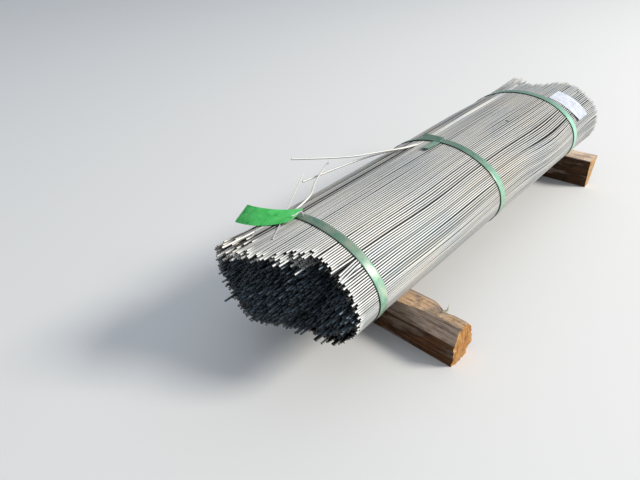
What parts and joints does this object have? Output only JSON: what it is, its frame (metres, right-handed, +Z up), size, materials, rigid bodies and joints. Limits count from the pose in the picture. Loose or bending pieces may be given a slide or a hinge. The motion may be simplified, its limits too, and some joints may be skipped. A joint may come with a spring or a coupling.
{
  "type": "bundle of formwork tie rods",
  "caption": "Oval bundle of straight galvanised steel rods, drawn together by green plastic straps and lying on two timber bearers.",
  "frame": {"origin": "on the underside of the front bearer, halfway across its width, straight below the bundle's long axis", "axes": "+Y along the rods, from the tagged end to the labelled end; +Z up; +X to the right, seen from the tagged end"},
  "size_m": [0.441, 1.1077, 0.3162],
  "materials": {
    "galvanised_steel": "dull galvanised wire with pale beige weathering",
    "green_strap": "glossy embossed strapping",
    "label_paper": "matt white paper",
    "tag_card": "bright green fluorescent card",
    "white_tie": "thin white cord",
    "rough_timber": "rough sawn, weathered"
  },
  "bodies": {
    "root": {"outer_rods": "galvanised_steel", "inner_rods": "galvanised_steel", "loose_rods": "galvanised_steel", "strap_front": "green_strap", "strap_middle": "green_strap", "strap_back": "green_strap", "white_label": "label_paper", "green_tag": "tag_card", "tag_tie": "white_tie", "binding_wire": "galvanised_steel", "bearer_front": "rough_timber", "bearer_back": "rough_timber"}
  },
  "joints": []
}
